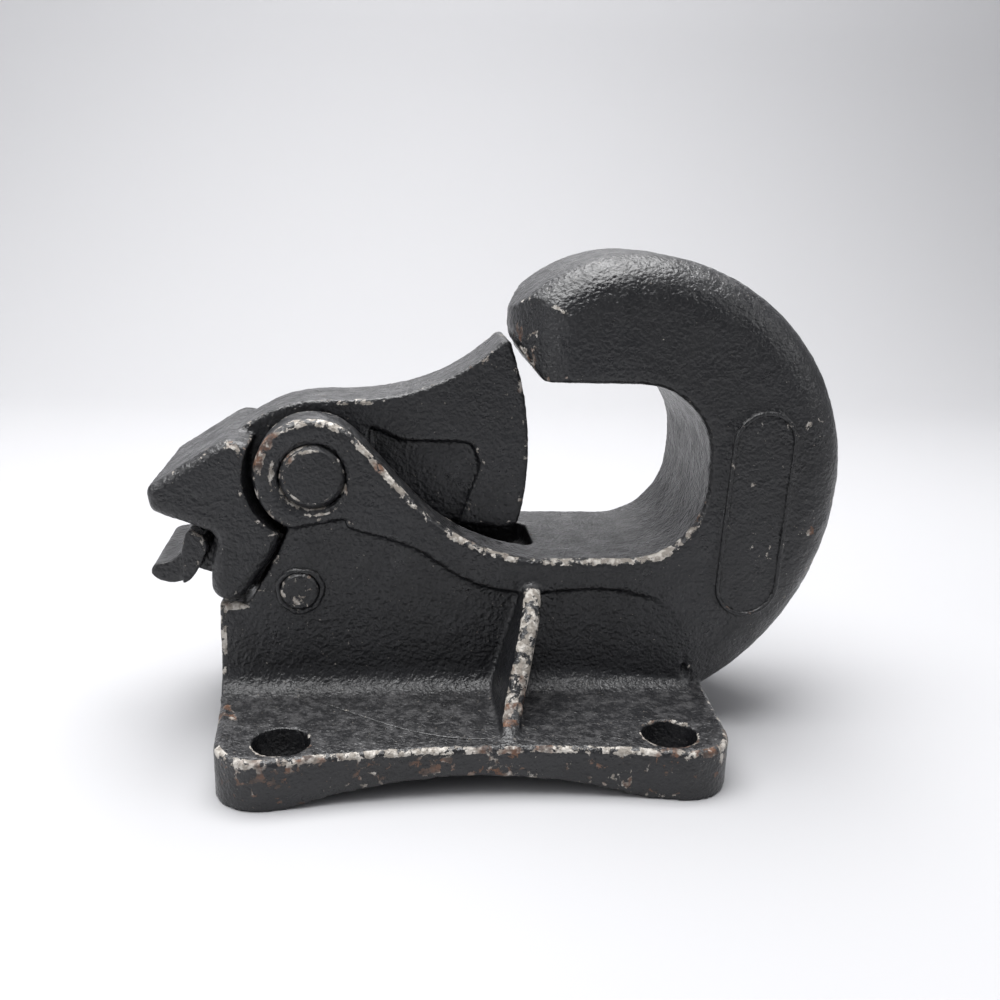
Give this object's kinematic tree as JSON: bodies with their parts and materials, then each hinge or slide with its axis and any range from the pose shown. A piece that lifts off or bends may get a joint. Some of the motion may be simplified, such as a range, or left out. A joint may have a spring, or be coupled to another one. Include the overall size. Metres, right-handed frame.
{
  "type": "pintle hook",
  "caption": "Bolt-on cast pintle hook for towing, with a swinging latch, a lock pawl and a four-bolt mounting base.",
  "frame": {"origin": "centre of the four-bolt pattern on the mounting face", "axes": "+Z out of the mounting face towards the throat, +X from the latch handle to the back of the hook, Y across the two ears"},
  "size_m": [0.222, 0.1482, 0.1558],
  "materials": {
    "body_paint": "worn satin black paint over rough cast iron, chipped and lightly rusted on its edges",
    "latch_paint": "worn satin black paint over a cast surface, rubbed grey on its upward faces",
    "pawl_paint": "worn satin black paint, rubbed grey where a finger presses it",
    "pin_steel": "steel pin ends painted over with the casting, rubbed at the chamfer",
    "bush_bronze": "plain sintered bronze",
    "spring_steel": "oiled spring wire"
  },
  "bodies": {
    "body": {"hook_body": "body_paint", "latch_pin": "pin_steel", "pawl_pin": "pin_steel", "spring_anchor_pin": "pin_steel", "latch_spring": "spring_steel", "pawl_spring": "spring_steel"},
    "latch": {"latch": "latch_paint", "latch_bush_front": "bush_bronze", "latch_bush_back": "bush_bronze"},
    "pawl": {"lock_pawl": "pawl_paint"}
  },
  "joints": [
    {"name": "latch_pivot", "type": "hinge", "parent": "body", "child": "latch", "pos_m": [-0.0503, 0, 0.0868], "axis": [0, 1, 0], "range_deg": [0, 50], "stiffness_Nm_per_rad": 0.6, "springref_deg": -20.05, "deforming": ["latch_spring"]},
    {"name": "pawl_pivot", "type": "hinge", "parent": "body", "child": "pawl", "pos_m": [-0.0545, 0, 0.0496], "axis": [0, 1, 0], "range_deg": [-44, 0], "stiffness_Nm_per_rad": 0.2, "springref_deg": 20.05, "deforming": ["pawl_spring"]}
  ],
  "couplings": [
    {"joint": "pawl_pivot", "follows": "latch_pivot", "ratio": -0.88}
  ]
}
